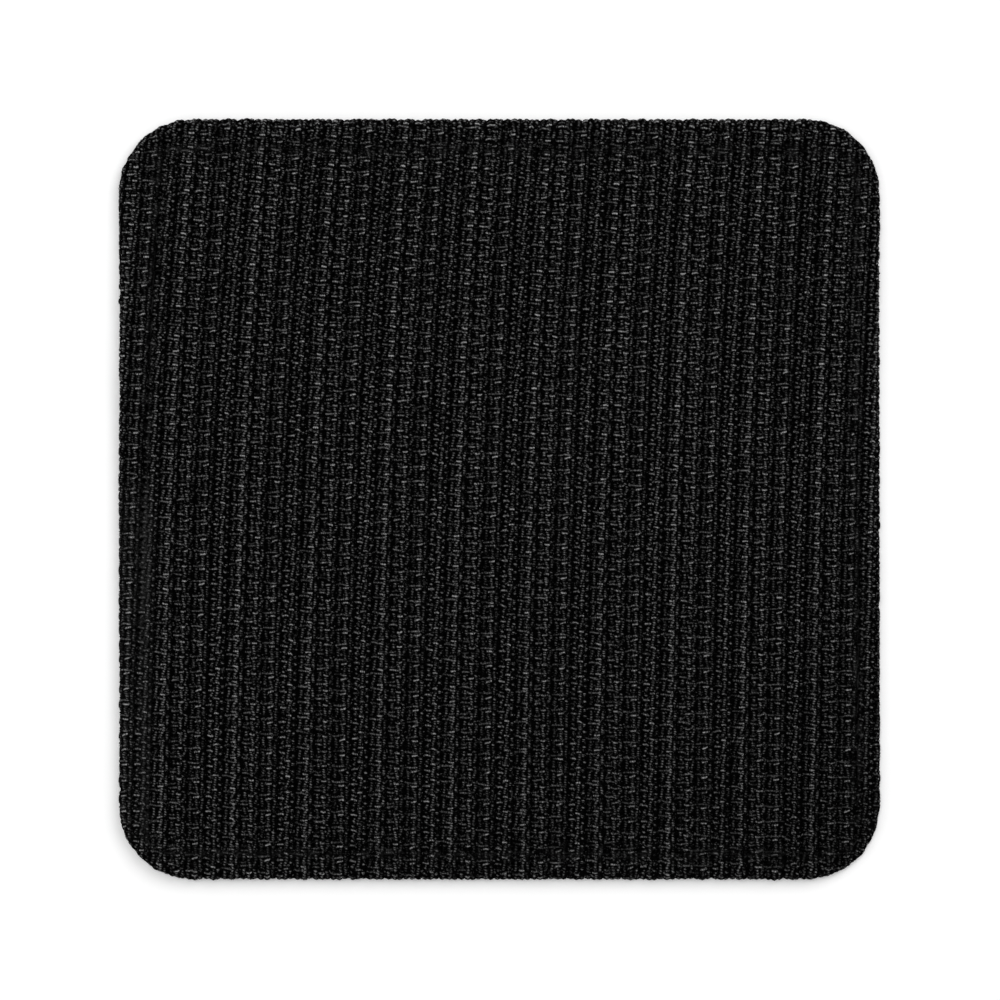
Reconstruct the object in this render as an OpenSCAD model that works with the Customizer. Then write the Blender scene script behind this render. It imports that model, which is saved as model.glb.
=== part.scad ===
// A blank square patch of ribbed cloth. It lies on its back: the face looks up, the ribs
// run along Y, and the origin is the middle of the underside.

/* [Patch] */
// Width of the patch, across the ribs
patch_w = 76.2; // [60:0.1:100]
// Length of the patch, along the ribs
patch_l = 76.2; // [60:0.1:100]
// Thickness of the pad, up to the top of the tall ribs
patch_t = 2.0; // [1.7:0.05:2.6]
// Radius of the four corners of the outline
corner_r = 7.1; // [5:0.1:12]

/* [Turned edge] */
// Radius of the edge where the cloth turns down from the face
edge_face_r = 1.1; // [0.6:0.05:1.15]
// Radius of the edge where the cloth turns in under the back
edge_back_r = 0.5; // [0.2:0.05:0.55]

/* [Ribs] */
// Distance from one rib to the next
rib_pitch = 1.817; // [1.5:0.001:2.4]
// Width of the flat valley between two ribs
valley_w = 0.27; // [0.1:0.01:0.5]
// Height of a plain rib over the valleys
rib_h = 0.2; // [0.1:0.01:0.25]
// Height of a tall rib over the valleys
tall_rib_h = 0.28; // [0.26:0.01:0.4]
// A tall rib comes once in this many ribs
tall_rib_every = 2; // [2:1:6]
// Distance from the middle of the patch to the tall rib right of it
tall_rib_x = 3.05; // [0:0.05:6]
// Angle that the ribs lean from Y, their far ends to the right
lean = 2.0; // [0:0.1:5]

/* [Stitched groove] */
// Width of the groove that the stitching pulls into the face
groove_w = 0.7; // [0.5:0.05:1]
// Depth of the groove, from the top of the tall ribs
groove_d = 0.5; // [0.45:0.05:0.7]
// Radius that the groove turns at the corners, at its middle line
groove_corner_r = 2.2; // [1.2:0.1:4]

/* [Hidden] */

// The four corners, [across, along], and the turn of the groove at each: its distance from
// the side edge and from the end edge. The stitching wanders a little, so these differ.
CORNER = 0;
FROM_SIDE = 1;
FROM_END = 2;
groove_turns = [
    [[1, 1], 2.15, 3.2],
    [[-1, 1], 3.7, 2.85],
    [[-1, -1], 2.5, 2.5],
    [[1, -1], 2.05, 2.45]
];

// The ribbed cloth starts wider and longer than the pad and is trimmed to its edge
trim = 2 * patch_t;
rib_run = patch_l + 2 * trim;
lean_reach = rib_run / 2 * tan(lean);
rib_field = patch_w + 2 * (lean_reach + trim);
ribs_each_way = ceil((rib_field / 2 + tall_rib_x) / rib_pitch);
rib_w = rib_pitch - valley_w;
valley_z = patch_t - tall_rib_h;
rib_root = valley_z / 2;

// How many flats make a quarter turn of the groove and of the edge, and half a rib's top
groove_steps = 6;
edge_steps = 4;
rib_steps = 3;
// The turned edge goes round the corners smoothly
$fn = 96;

// The points of a quarter turn about a centre, from one angle on
function quarter(centre, radius, start, steps) = [
    for (step = [0 : steps])
        let (angle = start + 90 * step / steps)
        centre + radius * [cos(angle), sin(angle)]
];

// The middle of the groove's turn at one corner
function turn_centre(turn) = [
    turn[CORNER][0] * (patch_w / 2 - turn[FROM_SIDE] - groove_corner_r),
    turn[CORNER][1] * (patch_l / 2 - turn[FROM_END] - groove_corner_r)
];

// The line of the groove, moved outwards from its middle
function groove_line(out) = [
    for (i = [0 : len(groove_turns) - 1])
        each quarter(turn_centre(groove_turns[i]), groove_corner_r + out, 90 * i, groove_steps)
];

// A cut through the pad from its middle line to its edge, which is turned at both faces
module pad_section(reach) {
    polygon(concat(
        [[0, 0]],
        quarter([reach - edge_back_r, edge_back_r], edge_back_r, -90, edge_steps),
        quarter([reach - edge_face_r, patch_t - edge_face_r], edge_face_r, 0, edge_steps),
        [[0, patch_t]]
    ));
}

// A run of the pad with both its long edges turned
module pad_run(width, length) {
    rotate([90, 0, 0])
        linear_extrude(length, center = true)
            for (side = [0, 1])
                mirror([side, 0]) pad_section(width / 2);
}

// The whole pad as if its face were smooth
module smooth_pad() {
    pad_run(patch_w, patch_l - 2 * corner_r);
    rotate([0, 0, 90]) pad_run(patch_l, patch_w - 2 * corner_r);
    for (turn = groove_turns)
        translate([
            turn[CORNER][0] * (patch_w / 2 - corner_r),
            turn[CORNER][1] * (patch_l / 2 - corner_r)
        ])
            rotate_extrude() pad_section(corner_r);
}

// The section of one rib: the top of a round bar that stands out of the cloth
module rib_section(height) {
    bar_r = (rib_w * rib_w / 4 + height * height) / (2 * height);
    half_angle = asin(rib_w / 2 / bar_r);
    polygon([
        [rib_w / 2, rib_root],
        for (step = [rib_steps : -1 : -rib_steps])
            let (angle = half_angle * step / rib_steps)
            [bar_r * sin(angle), valley_z + height - bar_r + bar_r * cos(angle)],
        [-rib_w / 2, rib_root]
    ]);
}

// The ribbed cloth before it is trimmed, with all its ribs side by side
module ribbed_cloth() {
    rotate([90, 0, -lean])
        linear_extrude(rib_run, center = true) {
            translate([-rib_field / 2, -trim]) square([rib_field, trim + valley_z]);
            for (i = [-ribs_each_way : ribs_each_way])
                translate([tall_rib_x + i * rib_pitch, 0])
                    rib_section(i % tall_rib_every == 0 ? tall_rib_h : rib_h);
        }
}

// What the stitching pulls out of the face
module groove() {
    translate([0, 0, patch_t - groove_d])
        linear_extrude(2 * groove_d)
            difference() {
                polygon(groove_line(groove_w / 2));
                polygon(groove_line(-groove_w / 2));
            }
}

module patch_cloth() {
    color("#1b1b1c")
        difference() {
            intersection() {
                smooth_pad();
                ribbed_cloth();
            }
            groove();
        }
}

patch_cloth();
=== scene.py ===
# %% [markdown]
# # A blank patch of ribbed black cloth
#
# The real thing is a square of coarse black cloth, three inches each way and about two millimetres thick.
# Its edge is turned over, and one line of machine stitching runs round it in a shallow groove. Nothing is
# embroidered on it, so the weave itself is all there is to see, and it is built yarn by yarn.
#
# A picture of cloth on a flat plate would be quicker, but from the side it looks painted on, and its edge
# would be smooth. So each yarn is a real tube, and colour only adds what is finer than a yarn.
#
# The construction comes first. It is loaded as a fixed frame.

# %% Load the frame
import math

import bmesh
import bpy
import numpy as np
from mathutils import Matrix, Vector


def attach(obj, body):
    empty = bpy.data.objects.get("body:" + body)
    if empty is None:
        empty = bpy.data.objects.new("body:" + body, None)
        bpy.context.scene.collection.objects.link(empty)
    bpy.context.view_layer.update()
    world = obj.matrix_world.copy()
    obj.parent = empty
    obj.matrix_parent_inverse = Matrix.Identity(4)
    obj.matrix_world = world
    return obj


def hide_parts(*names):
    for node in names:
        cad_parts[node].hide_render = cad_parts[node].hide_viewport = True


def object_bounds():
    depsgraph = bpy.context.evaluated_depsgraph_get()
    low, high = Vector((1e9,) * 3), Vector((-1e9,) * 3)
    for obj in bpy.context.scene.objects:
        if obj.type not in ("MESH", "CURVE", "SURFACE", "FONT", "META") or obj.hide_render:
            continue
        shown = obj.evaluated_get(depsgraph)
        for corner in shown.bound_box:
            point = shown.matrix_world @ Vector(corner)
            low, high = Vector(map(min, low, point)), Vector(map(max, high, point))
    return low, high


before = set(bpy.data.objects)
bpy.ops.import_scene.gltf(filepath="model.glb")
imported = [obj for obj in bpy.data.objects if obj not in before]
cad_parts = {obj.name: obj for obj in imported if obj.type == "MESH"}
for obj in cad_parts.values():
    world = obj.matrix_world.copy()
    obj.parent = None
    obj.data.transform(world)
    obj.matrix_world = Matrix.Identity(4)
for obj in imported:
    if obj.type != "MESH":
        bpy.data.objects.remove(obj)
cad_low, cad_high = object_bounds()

print("construction", tuple(cad_low), tuple(cad_high))

# %% [markdown]
# ## The sizes that everything follows
#
# The width and the thickness come from the frame, and the radii repeat the construction's own. All are in
# millimetres, because that is how a cloth is measured. A length is turned to metres only where it goes into
# Blender.

# %% Sizes of the patch
MM = 0.001
INCH = 25.4
PATCH_W = round((cad_high[0] - cad_low[0]) / MM, 1)
PATCH_T = round((cad_high[2] - cad_low[2]) / MM, 1)
HALF_W = PATCH_W / 2
CORNER_R = 7.1
EDGE_FACE_R = 1.1
EDGE_BACK_R = 0.5
WALL_H = PATCH_T - EDGE_FACE_R - EDGE_BACK_R
GROOVE_CORNER_R = 2.2
print("patch", PATCH_W, "by", PATCH_T, "mm, with a wall of", round(WALL_H, 2), "mm between its two turns")

# %% [markdown]
# ## The camera
#
# The picture was taken from straight above and shows no perspective, so a long lens looks down from far
# away. One pixel of the 1000 across is a tenth of a millimetre, and the patch lies a hair up and left of
# the middle.

# %% Camera
PICTURE_W = 100.4
CAMERA_H = 700.0
SENSOR_W = 36.0
NEAREST_SEEN = 0.01
PATCH_RIGHT_OF_MIDDLE = -0.065
PATCH_ABOVE_MIDDLE = 0.075

camera = bpy.data.objects.new("camera", bpy.data.cameras.new("camera"))
bpy.context.scene.collection.objects.link(camera)
camera.data.sensor_width = SENSOR_W
camera.data.lens = SENSOR_W * (CAMERA_H - PATCH_T) / PICTURE_W
camera.data.clip_start = NEAREST_SEEN
camera.location = (-PATCH_RIGHT_OF_MIDDLE * MM, -PATCH_ABOVE_MIDDLE * MM, CAMERA_H * MM)
bpy.context.scene.camera = camera
print("camera lens", round(camera.data.lens), "mm")

# %% [markdown]
# ## Where the outline is
#
# The outline is a square with round corners. Most of what follows asks two things about a point of the
# cloth: how far inside the outline it is, and which way leads straight out. One function answers both, for
# thousands of points at once, because the points are kept in arrays.

# %% How far inside the outline a point is
TINY = 1e-9


def depth_and_way_out(x, y):
    straight = HALF_W - CORNER_R
    over_x = np.abs(x) - straight
    over_y = np.abs(y) - straight
    in_corner = (over_x > 0) & (over_y > 0)
    corner_reach = np.hypot(over_x, over_y)
    depth = CORNER_R - np.where(in_corner, corner_reach, np.maximum(over_x, over_y))
    round_corner = np.maximum(corner_reach, TINY)
    side = over_x > over_y
    way_x = np.where(in_corner, over_x / round_corner, side * 1.0) * np.sign(x)
    way_y = np.where(in_corner, over_y / round_corner, ~side * 1.0) * np.sign(y)
    return depth, way_x, way_y


def corner_share(way_x, way_y):
    """0 where the outline is straight, 1 in the middle of a corner."""
    return np.sqrt(2 * np.abs(way_x * way_y))


print("depth of the middle", depth_and_way_out(np.zeros(1), np.zeros(1))[0][0], "mm")

# %% [markdown]
# ## Patchiness
#
# Nothing in a worn cloth is even. Its edge swells and sinks, the stitching wanders, and some spots stay
# blacker. A noise texture could say that to a material, but shapes need it too. So a sum of waves that run
# all ways makes a smooth random field, with patches about a millimetre across. It lies mostly between -2
# and 2, and its seed is fixed, so that it comes out the same each time.

# %% A smooth random field over the patch
FIELD_SEED = 5
FIELD_WAVES = 24
FIELD_SHORTEST = 1.2
FIELD_LONGEST = 2.6
FULL_TURN = 2 * math.pi

field_rng = np.random.default_rng(FIELD_SEED)
field_ways = field_rng.uniform(0, FULL_TURN, FIELD_WAVES)
field_lengths = field_rng.uniform(FIELD_SHORTEST, FIELD_LONGEST, FIELD_WAVES)
field_starts = field_rng.uniform(0, FULL_TURN, FIELD_WAVES)


def patchy(x, y):
    """The random field at a place in millimetres."""
    total = np.zeros(np.shape(x))
    for way, length, start in zip(field_ways, field_lengths, field_starts):
        along = x * math.cos(way) + y * math.sin(way)
        total += np.sin(FULL_TURN * along / length + start)
    return total * math.sqrt(2 / FIELD_WAVES)


print("patchiness in the middle", round(float(patchy(0.0, 0.0)), 2))

# %% [markdown]
# ## The way a flat cloth turns round the edge
#
# The cloth is first thought of as lying flat. A point of it has a place across and along, and a height over
# the face. Near the outline the cloth turns down, runs down the short wall and turns in under the back. One
# function moves every point of every yarn round that turn, so that all yarns stay together there.
#
# The yarns at the outside of the bend slide together a little, so the turn takes less cloth than its arc.
# The bend also swells out past the construction by nearly the thickness of a yarn, a little unevenly, and
# presses the yarns flat.

# %% How much cloth the turn takes
TURN_R = 0.95
BACK_TURN_R = 0.42
BACK_TURN_SHARE = 0.8
TURN_CLOTH = TURN_R * math.pi / 2
BACK_CLOTH = BACK_TURN_R * math.pi / 2
CLOTH_BEYOND = TURN_CLOTH + WALL_H + BACK_TURN_SHARE * BACK_CLOTH - EDGE_FACE_R
print("cloth beyond the outline", round(CLOTH_BEYOND, 2), "mm")

# %% Turn the cloth round the edge
# How far the bend swells out on a straight side and in a corner, and how much it flattens the yarns there
EDGE_SWELL = 0.2
CORNER_SWELL = 0.09
EDGE_UNEVEN = 0.03
EDGE_FLAT = 0.35
CORNER_FLAT = 0.65
QUARTER_TURN = math.pi / 2


def turn_edge(x, y, height):
    """Where a point of the flat cloth, at a height over the face, comes to lie."""
    depth, way_x, way_y = depth_and_way_out(x, y)
    corner = corner_share(way_x, way_y)
    beyond = np.maximum(EDGE_FACE_R - depth, 0.0)
    flat = EDGE_FLAT + (CORNER_FLAT - EDGE_FLAT) * corner
    height = height * (1 - flat * np.clip(beyond / TURN_CLOTH, 0, 1))
    swell = EDGE_SWELL + (CORNER_SWELL - EDGE_SWELL) * corner + EDGE_UNEVEN * patchy(x, y)

    # From the face to the wall
    angle = np.clip(beyond / TURN_R, 0, QUARTER_TURN)
    down = np.clip(beyond - TURN_CLOTH, 0, WALL_H)
    out = (EDGE_FACE_R + height + swell) * np.sin(angle)
    z = PATCH_T - EDGE_FACE_R + (EDGE_FACE_R + height) * np.cos(angle) - down

    # From the wall in under the back
    back_angle = np.clip((beyond - TURN_CLOTH - WALL_H) / BACK_TURN_R, 0, QUARTER_TURN)
    under = back_angle > 0
    back_out = EDGE_FACE_R - EDGE_BACK_R + (EDGE_BACK_R + height + swell) * np.cos(back_angle)
    out = np.where(under, back_out, out)
    z = np.where(under, EDGE_BACK_R - (EDGE_BACK_R + height) * np.sin(back_angle), z)

    turned = beyond > 0
    turned_x = np.where(turned, x + way_x * (out - beyond), x)
    turned_y = np.where(turned, y + way_y * (out - beyond), y)
    return turned_x, turned_y, np.where(turned, z, PATCH_T + height)


edge_place = turn_edge(np.array([HALF_W]), np.zeros(1), np.zeros(1))
print("the cloth at the outline is turned to", [round(float(place[0]), 2) for place in edge_place], "mm")

# %% [markdown]
# ## The stitched line
#
# The line runs two to four millimetres inside the outline and wanders a little. It is four turns joined by
# straight runs, as in the construction, and its left run bows outwards by half a millimetre. The yarns need
# the distance to it, because they dip into the groove.

# %% The four turns of the stitching
# Corner, distance from the side edge and from the end edge, as in the construction
TURNS = (
    ((1, 1), 2.15, 3.2),
    ((-1, 1), 3.7, 2.85),
    ((-1, -1), 2.5, 2.5),
    ((1, -1), 2.05, 2.45),
)

turn_centres = []
for corner, from_side, from_end in TURNS:
    reach = HALF_W - GROOVE_CORNER_R - np.array([from_side, from_end])
    turn_centres.append(np.array(corner) * reach)
turn_centres = np.array(turn_centres)
print("middles of the turns", turn_centres.round(2).tolist())

# %% How far outside the stitching a point is
# The bow of the left run: how far, between which heights, how full, and where it fades out inwards
LEFT_BOW = 0.45
BOW_TOP = 28.0
BOW_BOTTOM = -34.0
BOW_FULLNESS = 0.7
BOW_ENDS_AT = 20.0
BOW_FADE = 10.0
FAR_AWAY = 1e9


def bow(x, y):
    share = np.clip((BOW_TOP - y) / (BOW_TOP - BOW_BOTTOM), 0, 1)
    left = np.clip((-x - BOW_ENDS_AT) / BOW_FADE, 0, 1)
    return -LEFT_BOW * np.sin(math.pi * share) ** BOW_FULLNESS * left


def from_seam(x, y):
    """Distance to the stitched line in millimetres, negative inside it."""
    x = x - bow(x, y)
    nearest = np.full(np.shape(x), FAR_AWAY)
    inside = np.ones(np.shape(x), bool)
    for start, end in zip(turn_centres, np.roll(turn_centres, -1, axis=0)):
        run = end - start
        length = np.hypot(*run)
        run = run / length
        over_x = x - start[0]
        over_y = y - start[1]
        share = np.clip(over_x * run[0] + over_y * run[1], 0, length)
        aside = np.hypot(over_x - share * run[0], over_y - share * run[1])
        nearest = np.minimum(nearest, aside)
        inside &= over_x * run[1] - over_y * run[0] < 0
    return np.where(inside, -nearest, nearest) - GROOVE_CORNER_R


print("the edge is", round(float(from_seam(HALF_W, 0.0)), 2), "mm outside the stitching on the right")

# %% Points along the stitched line
# A lockstitch of about 2.4 mm, and ten points to each stitch
STITCHES = 118
STITCH_RINGS = 10
POINTS_PER_TURN = 40
PATH_STEP = 0.25


def seam_path():
    """Close points all round, from the right side anticlockwise."""
    corners = []
    for number, centre in enumerate(turn_centres):
        angles = QUARTER_TURN * (number + np.linspace(0, 1, POINTS_PER_TURN))
        corners.append(centre + GROOVE_CORNER_R * np.stack([np.cos(angles), np.sin(angles)], 1))
    corners = np.concatenate(corners + [corners[0][:1]])
    path = []
    for start, end in zip(corners[:-1], corners[1:]):
        steps = max(2, int(np.hypot(*(end - start)) / PATH_STEP))
        shares = np.linspace(0, 1, steps, endpoint=False)[:, None]
        path.append(start + (end - start) * shares)
    path = np.concatenate(path + [corners[:1]])
    path[:, 0] += bow(path[:, 0], path[:, 1])
    return path


path = seam_path()
path_run = np.concatenate([[0], np.cumsum(np.hypot(*np.diff(path, axis=0).T))])
seam_run = np.linspace(0, path_run[-1], STITCHES * STITCH_RINGS + 1)
seam_x = np.interp(seam_run, path_run, path[:, 0])
seam_y = np.interp(seam_run, path_run, path[:, 1])
seam_turn = np.unwrap(np.arctan2(seam_y, seam_x))
print("stitches", STITCHES, "of", round(seam_run[-1] / STITCHES, 2), "mm")

# %% [markdown]
# ## Felted cloth
#
# Black cloth shows its wear as grey. Along the lower half of the left side the hem is felted to a dull
# haze, most of all on the stitching, and the rest of the stitched line is felted in patches. Loose hairs
# would be the real way to make felt, but at this size it is seen as a haze. So one function says how felted
# each place is, the yarns' points keep the answer, and their material reads it.

# %% Where the cloth is felted
# How strongly at places along the left side, and how far left of the middle that begins
RUB_ALONG = ((-37.0, 0.0), (-33.0, 0.5), (-15.0, 0.6), (-9.0, 1.0), (-1.0, 1.0), (3.0, 0.0))
RUB_LEFT_OF = -PATCH_W / 4
RUB_HALF_W = 0.55
HEM_RUB = 0.2
# The patches on the rest of the line: how strong, and below which patchiness
SEAM_FELT = 0.4
FELT_BELOW = 0.5

rub_places, rub_strengths = zip(*RUB_ALONG)


def hump(distance, width):
    """1 at distance 0, falling smoothly to nearly 0 at twice the width."""
    return np.exp(-((distance / width) ** 2))


def rubbed(x, y):
    """How felted the cloth is, from 0 to 1."""
    seam = from_seam(x, y)
    on_seam = hump(seam, RUB_HALF_W)
    across = np.maximum(on_seam, HEM_RUB * (seam > 0))
    left = np.interp(y, rub_places, rub_strengths) * across * (x < RUB_LEFT_OF)
    felt = SEAM_FELT * on_seam * np.clip(FELT_BELOW - patchy(x, y), 0, 1)
    return np.maximum(left, felt)


print("felted in the middle of the left hem", round(float(rubbed(1 - HALF_W, -5.0)), 2))

# %% [markdown]
# ## How deep the stitching pulls the cloth in
#
# The needle leaves a hole at each end of a stitch. There the thread draws the cloth down hard, between two
# holes it does so less, and a shallow dent spreads to both sides. The line isn't quite true, so the
# distance to it is shifted by a little patchiness. Felted fibres fill the groove again.

# %% The groove
# Depths and widths are in millimetres, and the width of a needle hole is a share of a stitch
PULL_DEPTH = 0.5
PULL_W = 0.36
DENT_DEPTH = 0.14
DENT_W = 1.0
HOLE_SHARE = 0.17
BETWEEN_HOLES = 0.25
SEAM_WANDER = 0.2
FELT_FILLS = 0.6


def needle_hole(x, y):
    """1 in line with a needle hole of the stitched line, 0 midway between two."""
    turn = seam_turn[0] + np.mod(np.arctan2(y, x) - seam_turn[0], FULL_TURN)
    stitch = np.interp(turn, seam_turn, seam_run) * STITCHES / seam_run[-1]
    return hump(stitch - np.rint(stitch), HOLE_SHARE)


def drawn_in(x, y):
    """How strongly the stitching draws the cloth in, from 0 to 1."""
    seam = from_seam(x, y) + SEAM_WANDER * patchy(x, y)
    along = BETWEEN_HOLES + (1 - BETWEEN_HOLES) * needle_hole(x, y)
    return along * hump(seam, PULL_W)


def pulled(x, y):
    """How far down the cloth is pulled, in millimetres."""
    unfilled = 1 - FELT_FILLS * rubbed(x, y)
    return unfilled * PULL_DEPTH * drawn_in(x, y) + DENT_DEPTH * hump(from_seam(x, y), DENT_W)


print("beside the groove the cloth is pulled down by", round(float(pulled(HALF_W - 3.0, 0.0)), 2), "mm")

# %% [markdown]
# ## How light each place is painted
#
# The turned edge is painted lighter: a painted highlight where the rounded edge catches the light, and
# rubbed wear, because it rubs on everything. The groove is painted black as painted shade, and small spots
# stay black too, most of them beside the stitching. The whole face is painted a little darker towards its
# right, and most of all in its lower right quarter: painted shade where less light falls. This too is
# stored on the yarns' points.

# %% How light the face is painted
# Painted light on the face: its base level, painted shade to the right and lower right, painted highlight
# and wear on the turned edge, and painted shade in the groove
FACE_SHINE = 0.975
RIGHT_SHADE = 0.08
NEAR_RIGHT_SHADE = 0.38
RIM_HIGHLIGHT_AND_WEAR = 0.4
RIM_W = 1.5
RIM_STEEPNESS = 1.4
GROOVE_SHADE = 0.9
SEAM_SHADE = 0.18
SEAM_SHADE_W = 0.75
# Black spots: how dark, from which patchiness on, how much earlier beside the stitching, and how soft
SPOT_DARK = 0.75
SPOT_FROM = 1.2
SPOT_NEAR_SEAM = 0.85
SPOT_EASE = 0.5


def painted_light_and_wear(x, y):
    """How light the cloth is painted here, about 1 on a plain stretch: painted highlight and wear on the
    edge, painted shade in the groove and towards the lower right, and black spots.
    """
    unfelted = 1 - rubbed(x, y)
    beside_seam = hump(from_seam(x, y), SEAM_SHADE_W) * unfelted
    spot = np.clip((patchy(x, y) - SPOT_FROM + SPOT_NEAR_SEAM * beside_seam) / SPOT_EASE, 0, 1)
    # Painted shade in the groove and beside the stitching, less where felt fills it
    shaded = 1 - GROOVE_SHADE * drawn_in(x, y) * unfelted
    shaded = shaded * (1 - SPOT_DARK * spot) * (1 - SEAM_SHADE * beside_seam)
    # Painted highlight and rubbed wear on the turned edge
    rim = np.clip(RIM_STEEPNESS * (RIM_W - depth_and_way_out(x, y)[0]) / RIM_W, 0, 1)
    # Painted shade towards the right, most of all in the lower right quarter
    near_right = np.clip(-y / HALF_W, 0, 1) * np.clip(0.5 + x / PATCH_W, 0, 1)
    slope = FACE_SHINE - RIGHT_SHADE * x / PATCH_W - NEAR_RIGHT_SHADE * near_right
    return slope * (1 + RIM_HIGHLIGHT_AND_WEAR * rim) * shaded


print("shine in the middle", round(float(painted_light_and_wear(0.0, 0.0)), 2))

# %% [markdown]
# ## The draft of the weave
#
# A weaver writes a cloth down as a draft: how the ends, which run along the ribs, and the picks, which run
# across, pass over and under each other. This one repeats every 12 ends and 4 picks. The ends lie in groups
# of three, and each group is a rib. Every second rib is a tall one, where the picks get the brightest
# painted highlight.
#
# The ends aren't evenly spaced and the picks wind between them, so the draft gives places too: across the
# repeat in millimetres, and along it as a share of the repeat, counted towards the viewer. One repeat was
# charted, and the whole cloth is made from it.

# %% The repeat
REPEAT_X = 7.269
REPEAT_Y = 1.479
REPEAT_START_X = -6.74
PHASE_AT_MIDDLE = 1.336

END_PLACES = np.array([0.24, 0.78, 1.26, 1.91, 2.61, 3.09, 3.82, 4.44, 4.89, 5.54, 6.20, 6.74])
ENDS = len(END_PLACES)
print("ends to the inch", round(INCH * ENDS / REPEAT_X, 1))

# %% The ends
# Each end in turn: seven places along the repeat. For each place, where it is, how high the end lies there
# from 0 under the picks to 1 on top, how far aside it lies in millimetres, and how bright the painted
# highlight on its crown is
END_DRAFT = np.array((
    ((0.03, 0.0, -0.11, 0.8), (0.13, 0.9, -0.11, 0.8), (0.23, 0.0, -0.08, 0.7), (0.62, 0.0, 0.04, 0.6),
     (0.72, 0.9, -0.05, 0.65), (0.84, 0.9, -0.11, 0.65), (0.95, 0.2, 0.05, 0.6)),
    ((0.10, 0.1, 0.03, 0.55), (0.22, 0.8, 0.04, 0.55), (0.34, 1.0, 0.03, 0.7), (0.50, 1.0, 0.0, 0.55),
     (0.66, 1.0, -0.05, 0.6), (0.78, 0.9, -0.09, 0.7), (0.86, 0.0, -0.08, 0.7)),
    ((0.10, 0.0, 0.0, 1.0), (0.21, 0.95, -0.04, 1.0), (0.32, 0.0, 0.0, 1.0), (0.51, 0.0, 0.0, 0.9),
     (0.62, 0.95, 0.02, 1.0), (0.73, 0.0, 0.0, 0.8), (0.92, 0.0, 0.0, 0.3)),
    ((0.20, 0.1, 0.03, 0.4), (0.34, 0.8, 0.04, 0.35), (0.45, 0.9, 0.03, 0.45), (0.58, 0.9, 0.02, 0.45),
     (0.70, 0.9, -0.01, 0.5), (0.80, 0.9, -0.05, 0.6), (0.90, 0.0, -0.06, 0.5)),
    ((0.04, 0.1, 0.12, 0.8), (0.13, 0.9, 0.12, 0.8), (0.24, 1.0, 0.05, 0.75), (0.36, 0.95, -0.02, 0.6),
     (0.46, 0.8, -0.07, 0.55), (0.56, 0.1, -0.08, 0.5), (0.82, 0.0, 0.0, 0.3)),
    ((0.16, 0.2, 0.0, 0.2), (0.26, 0.7, 0.0, 0.2), (0.38, 0.2, 0.0, 0.3), (0.48, 0.85, 0.0, 0.5),
     (0.60, 0.95, 0.0, 0.55), (0.72, 0.85, 0.0, 0.5), (0.80, 0.1, 0.0, 0.4)),
    ((0.06, 0.0, -0.03, 0.6), (0.16, 0.85, -0.04, 0.6), (0.24, 0.6, -0.01, 0.35), (0.32, 0.8, -0.02, 0.55),
     (0.44, 0.3, 0.0, 0.3), (0.56, 0.0, 0.0, 0.2), (0.76, 0.0, 0.0, 0.2)),
    ((0.43, 0.0, -0.1, 0.7), (0.54, 0.85, -0.10, 0.75), (0.64, 1.0, -0.04, 0.65), (0.75, 1.0, 0.0, 0.6),
     (0.87, 1.0, 0.03, 0.8), (1.00, 0.75, 0.01, 0.5), (1.13, 0.1, 0.0, 0.4)),
    ((-0.14, 0.0, -0.06, 0.6), (0.01, 0.0, -0.04, 0.8), (0.11, 0.85, -0.04, 0.9), (0.21, 0.0, 0.03, 0.8),
     (0.45, 0.8, 0.11, 0.5), (0.62, 0.95, 0.02, 0.55), (0.77, 0.9, -0.08, 0.65)),
    ((0.26, 0.1, -0.05, 0.3), (0.38, 0.1, 0.0, 0.3), (0.48, 0.8, 0.0, 0.35), (0.62, 0.9, 0.02, 0.4),
     (0.78, 0.9, 0.02, 0.4), (0.94, 0.8, 0.01, 0.35), (1.06, 0.1, 0.0, 0.3)),
    ((0.32, 0.0, 0.03, 0.5), (0.50, 0.0, 0.02, 0.5), (0.62, 0.1, -0.04, 0.6), (0.71, 0.85, -0.05, 0.6),
     (0.86, 1.0, 0.0, 0.6), (1.00, 1.0, 0.03, 0.65), (1.13, 0.8, 0.05, 0.6)),
    ((0.51, 0.0, 0.0, 1.0), (0.58, 0.85, 0.0, 1.0), (0.68, 0.85, 0.0, 1.0), (0.76, 0.0, 0.0, 0.7),
     (0.88, 0.7, -0.03, 0.45), (1.02, 0.8, -0.03, 0.45), (1.18, 0.4, -0.03, 0.4)),
))
# How strong the painted highlight of each end is, over all
END_HIGHLIGHT = np.array([1.45, 1.05, 1.45, 1.15, 1.55, 1.9, 1.4, 1.5, 0.9, 0.85, 0.85, 0.95])
print("draft of", len(END_DRAFT), "ends")

# %% The picks
# Each pick in turn: its place along the repeat over each of the 12 ends
PICK_PLACES = np.array((
    (1.02, 0.976, 1.06, 1.06, 1.10, 1.14, 1.14, 1.06, 1.12, 1.08, 1.04, 1.06),
    (0.27, 0.26, 0.22, 0.25, 0.26, 0.25, 0.27, 0.318, 0.27, 0.26, 0.24, 0.25),
    (0.43, 0.50, 0.61, 0.60, 0.63, 0.62, 0.66, 0.54, 0.52, 0.56, 0.487, 0.42),
    (0.84, 0.84, 0.82, 0.82, 0.84, 0.87, 0.87, 0.87, 0.86, 0.86, 0.86, 0.86),
))
# The same picks: how bright the painted highlight of each is over each end. It lies on top of the end
# where this isn't 0
PICK_DRAFT = np.array((
    (0.0, 0.8, 0.0, 0.22, 0.42, 0.0, 0.0, 0.0, 0.0, 0.0, 0.0, 0.0),
    (0.0, 0.0, 0.0, 0.0, 0.0, 0.0, 0.0, 0.85, 0.0, 0.2, 0.4, 0.0),
    (0.5, 0.0, 0.0, 0.0, 0.18, 0.0, 0.14, 0.0, 0.0, 0.0, 0.97, 0.0),
    (0.0, 0.0, 0.0, 0.0, 1.2, 0.0, 0.55, 0.2, 0.0, 0.0, 0.0, 0.0),
))
PICKS = len(PICK_PLACES)
print("picks to the inch", round(INCH * PICKS / REPEAT_Y, 1))
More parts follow.
